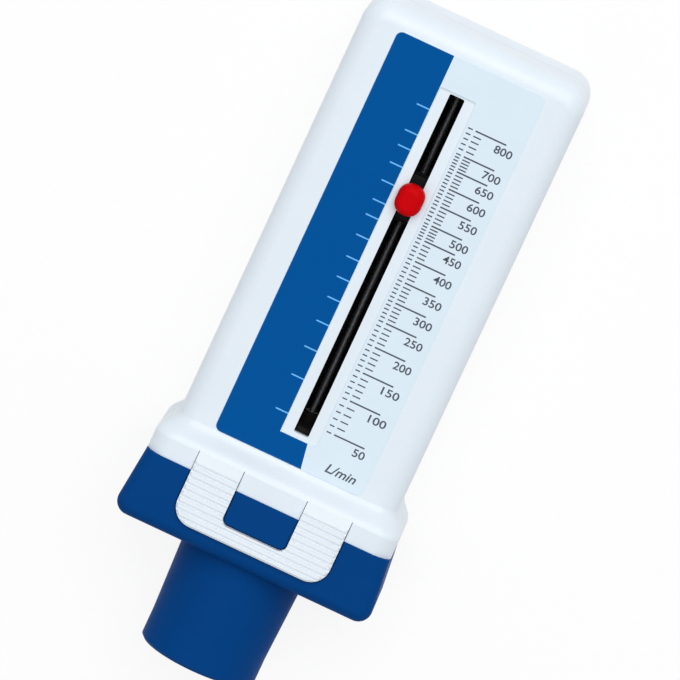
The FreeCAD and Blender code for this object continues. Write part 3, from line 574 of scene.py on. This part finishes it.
class MeterPrintScale(Operator):
    """Print the dashes and numbered lines on the right of the slot"""

    bl_idname = "meter.print_scale"
    bl_label = "Print the Scale"

    def execute(self, context):
        sizes = context.scene.meter_print
        bm = bmesh.new()
        for flow in all_flows():
            height = mark_height(flow, sizes)
            inner_end = sizes.inner_dash + sizes.inner_dash_length
            outer_end = sizes.outer_dash + sizes.outer_dash_length
            bar(bm, sizes.inner_dash, inner_end, height, sizes.row_thickness, sizes.ink_thickness)
            if flow not in numbered_flows():
                bar(bm, sizes.outer_dash, outer_end, height, sizes.row_thickness, sizes.ink_thickness)
        for flow in numbered_flows():
            height = mark_height(flow, sizes)
            bar(bm, sizes.outer_dash, sizes.line_end, height, sizes.line_thickness, sizes.ink_thickness)
        finished("print_scale", bm, scale_ink(context))
        return {"FINISHED"}


class MeterPrintNumbers(Operator):
    """Print the numbers under their lines and the unit at the foot"""

    bl_idname = "meter.print_numbers"
    bl_label = "Print the Numbers"

    def execute(self, context):
        sizes = context.scene.meter_print
        bm = bmesh.new()
        for flow in numbered_flows():
            height = mark_height(flow, sizes) - sizes.number_drop
            digits = str(flow)
            letters(
                bm, digits, sizes.number_left, height, sizes.number_height,
                sizes.ink_thickness, sizes.weight, sizes.number_width * len(digits) / 3)
        letters(
            bm, sizes.unit_text, sizes.unit_left, film_foot() + sizes.unit_middle, sizes.unit_height,
            sizes.ink_thickness, sizes.weight, sizes.unit_width, sizes.unit_slant)
        finished("print_numbers", bm, scale_ink(context))
        return {"FINISHED"}


class MeterPrintTicks(Operator):
    """Print the pale ticks on the blue field"""

    bl_idname = "meter.print_ticks"
    bl_label = "Print the Ticks"

    def execute(self, context):
        sizes = context.scene.meter_print
        right = window_corner()[0]
        over_field = 1.5 * sizes.ink_thickness
        bm = bmesh.new()
        for flow in numbered_flows():
            height = mark_height(flow, sizes)
            bar(bm, right - sizes.tick_length, right, height, sizes.tick_thickness, over_field)
        pale = film("tick_blue", context.scene.meter_finish.tick_blue)
        finished("print_ticks", bm, pale)
        return {"FINISHED"}


class MeterWindSpring(Operator):
    """Wind the return spring between the inlet and the vane"""

    bl_idname = "meter.wind_spring"
    bl_label = "Wind the Spring"

    def execute(self, context):
        sizes = context.scene.meter_spring
        low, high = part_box("return_spring")
        radius = (high.x - low.x - sizes.wire) / 2
        axis = Vector(((low.x + high.x) / 2, 0, (low.z + high.z) / 2))
        start, end = low.y + sizes.wire, high.y - sizes.wire
        curve = bpy.data.curves.new("spring_coil", "CURVE")
        curve.dimensions = "3D"
        curve.bevel_depth = sizes.wire / 2
        curve.bevel_resolution = 2
        curve.resolution_u = 3
        curve.use_fill_caps = True
        spline = curve.splines.new("NURBS")
        steps = sizes.turns * sizes.points_per_turn
        spline.points.add(steps)
        for step, point in enumerate(spline.points):
            angle = 2 * math.pi * step / sizes.points_per_turn
            along = start + (end - start) * step / steps
            around = Vector((math.cos(angle) * radius, along, math.sin(angle) * radius))
            point.co = (*(axis + around), 1)
        spline.order_u = 4
        spline.use_endpoint_u = True
        winder = bpy.data.objects.new("winder", curve)
        context.scene.collection.objects.link(winder)
        context.view_layer.update()
        mesh = bpy.data.meshes.new_from_object(winder.evaluated_get(context.evaluated_depsgraph_get()))
        bpy.data.objects.remove(winder)
        mesh.shade_smooth()
        mesh.materials.clear()
        mesh.materials.append(bpy.data.materials["steel"])
        coil = bpy.data.objects.new("spring_coil", mesh)
        context.scene.collection.objects.link(coil)
        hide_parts("return_spring")
        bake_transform(coil)
        return {"FINISHED"}


class MeterSetStudio(Operator):
    """Set the floor, the lamps and the camera"""

    bl_idname = "meter.set_studio"
    bl_label = "Set the Studio"

    def execute(self, context):
        studio = context.scene.meter_studio
        lay_floor(context, studio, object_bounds()[0].z - studio.floor_gap)
        light_world(context, studio)
        hang_lamp(context, "key", studio.key_watts, studio.key_place, studio.key_width)
        hang_lamp(context, "fill", studio.fill_watts, studio.fill_place, studio.fill_width)
        set_camera(context, studio)
        context.scene.view_settings.view_transform = "Standard"
        return {"FINISHED"}


def seen_rays(tree):
    """1 for the rays of the camera and of gloss and glass, which are to see plain white."""
    path = tree.nodes.new("ShaderNodeLightPath")
    seen = path.outputs["Is Camera Ray"]
    for other in ("Is Glossy Ray", "Is Transmission Ray"):
        either = tree.nodes.new("ShaderNodeMath")
        either.operation = "MAXIMUM"
        tree.links.new(seen, either.inputs[0])
        tree.links.new(path.outputs[other], either.inputs[1])
        seen = either.outputs[0]
    return seen


def lay_floor(context, studio, height):
    """A plain pale floor, a hair under the meter, that shows as white and keeps the meter's shadow."""
    bm = bmesh.new()
    bmesh.ops.create_grid(bm, x_segments=1, y_segments=1, size=studio.floor_size / 2)
    bmesh.ops.translate(bm, verts=bm.verts, vec=(0, 0, height))
    mesh = bpy.data.meshes.new("floor")
    bm.to_mesh(mesh)
    bm.free()
    material, shader, place = new_finish("floor_white", Roughness=0.9, Specular_IOR_Level=0.1)
    tinted(material, shader, noise(material, place, 2), (0.95, 0.95, 0.95), 0.995)
    tree = material.node_tree
    share = add_node(material, "ShaderNodeMath", operation="MULTIPLY")
    share.inputs[1].default_value = studio.floor_glow
    glow = add_node(material, "ShaderNodeEmission")
    mix = add_node(material, "ShaderNodeMixShader")
    join(material, seen_rays(tree), share.inputs[0])
    join(material, share.outputs[0], mix.inputs["Fac"])
    join(material, shader.outputs["BSDF"], mix.inputs[1])
    join(material, glow.outputs["Emission"], mix.inputs[2])
    join(material, mix.outputs["Shader"], tree.nodes["Material Output"].inputs["Surface"])
    mesh.materials.append(material)
    floor = bpy.data.objects.new("floor", mesh)
    context.scene.collection.objects.link(floor)
    floor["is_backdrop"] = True


def light_world(context, studio):
    """An even sky for the light, seen as plain white."""
    world = bpy.data.worlds.new("studio_sky")
    context.scene.world = world
    world.use_nodes = True
    nodes, links = world.node_tree.nodes, world.node_tree.links
    sky = nodes["Background"]
    sky.inputs["Color"].default_value = (1, 1, 1, 1)
    sky.inputs["Strength"].default_value = studio.sky
    seen = nodes.new("ShaderNodeBackground")
    seen.inputs["Color"].default_value = (1, 1, 1, 1)
    mix = nodes.new("ShaderNodeMixShader")
    links.new(seen_rays(world.node_tree), mix.inputs["Fac"])
    links.new(sky.outputs["Background"], mix.inputs[1])
    links.new(seen.outputs["Background"], mix.inputs[2])
    links.new(mix.outputs["Shader"], nodes["World Output"].inputs["Surface"])


def hang_lamp(context, name, watts, place, width):
    """A square soft lamp at a place, turned to the meter."""
    lamp = bpy.data.lights.new(name, "AREA")
    lamp.energy = watts
    lamp.size = width
    hung = bpy.data.objects.new(name, lamp)
    hung.location = place
    hung.rotation_euler = Vector(place).to_track_quat("Z", "Y").to_euler()
    context.scene.collection.objects.link(hung)


def set_camera(context, studio):
    """The camera over the front, turned as the meter was photographed."""
    lens = bpy.data.cameras.new("camera")
    lens.lens = studio.lens
    lens.clip_end = 20
    away = Vector((
        math.sin(studio.pan),
        math.cos(studio.pan) * math.sin(studio.tilt),
        math.cos(studio.pan) * math.cos(studio.tilt)))
    right = Vector((0, 1, 0)).cross(away).normalized()
    upright = Matrix((right, away.cross(right), away)).transposed()
    turned = (upright @ Matrix.Rotation(studio.roll, 3, "Z")).to_4x4()
    camera = bpy.data.objects.new("camera", lens)
    camera.matrix_world = Matrix.Translation(Vector(studio.aim) + away * studio.distance) @ turned
    context.scene.collection.objects.link(camera)
    context.scene.camera = camera


STEPS = [
    MeterPaintCase, MeterPaintBase, MeterPaintPointer, MeterPaintWorks, MeterMouldHinge,
    MeterPrintField, MeterPrintScale, MeterPrintNumbers, MeterPrintTicks, MeterWindSpring,
    MeterSetStudio]


class METER_PT_sidebar(Panel):
    """Sizes, colours and steps of the flow meter"""

    bl_label = "Flow Meter"
    bl_space_type = "VIEW_3D"
    bl_region_type = "UI"
    bl_category = "Flow Meter"

    def draw(self, context):
        for group in (
                context.scene.meter_print, context.scene.meter_hinge, context.scene.meter_spring,
                context.scene.meter_finish, context.scene.meter_studio):
            box = self.layout.box()
            for name in group.__annotations__:
                box.prop(group, name)
        for step in STEPS:
            self.layout.operator(step.bl_idname)


CLASSES = [
    MeterPrint, MeterHinge, MeterSpring, MeterFinish, MeterStudio, *STEPS, METER_PT_sidebar]


def register():
    for item in CLASSES:
        bpy.utils.register_class(item)
    bpy.types.Scene.meter_print = PointerProperty(type=MeterPrint)
    bpy.types.Scene.meter_hinge = PointerProperty(type=MeterHinge)
    bpy.types.Scene.meter_spring = PointerProperty(type=MeterSpring)
    bpy.types.Scene.meter_finish = PointerProperty(type=MeterFinish)
    bpy.types.Scene.meter_studio = PointerProperty(type=MeterStudio)


def unregister():
    del bpy.types.Scene.meter_studio
    del bpy.types.Scene.meter_finish
    del bpy.types.Scene.meter_spring
    del bpy.types.Scene.meter_hinge
    del bpy.types.Scene.meter_print
    for item in reversed(CLASSES):
        bpy.utils.unregister_class(item)


def main():
    """Registers the add-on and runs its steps."""
    register()
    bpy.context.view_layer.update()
    bpy.ops.meter.paint_case()
    bpy.ops.meter.paint_base()
    bpy.ops.meter.paint_pointer()
    bpy.ops.meter.paint_works()
    bpy.ops.meter.mould_hinge()
    bpy.ops.meter.print_field()
    bpy.ops.meter.print_scale()
    bpy.ops.meter.print_numbers()
    bpy.ops.meter.print_ticks()
    bpy.ops.meter.wind_spring()
    bpy.ops.meter.set_studio()


if __name__ == "__main__":
    main()
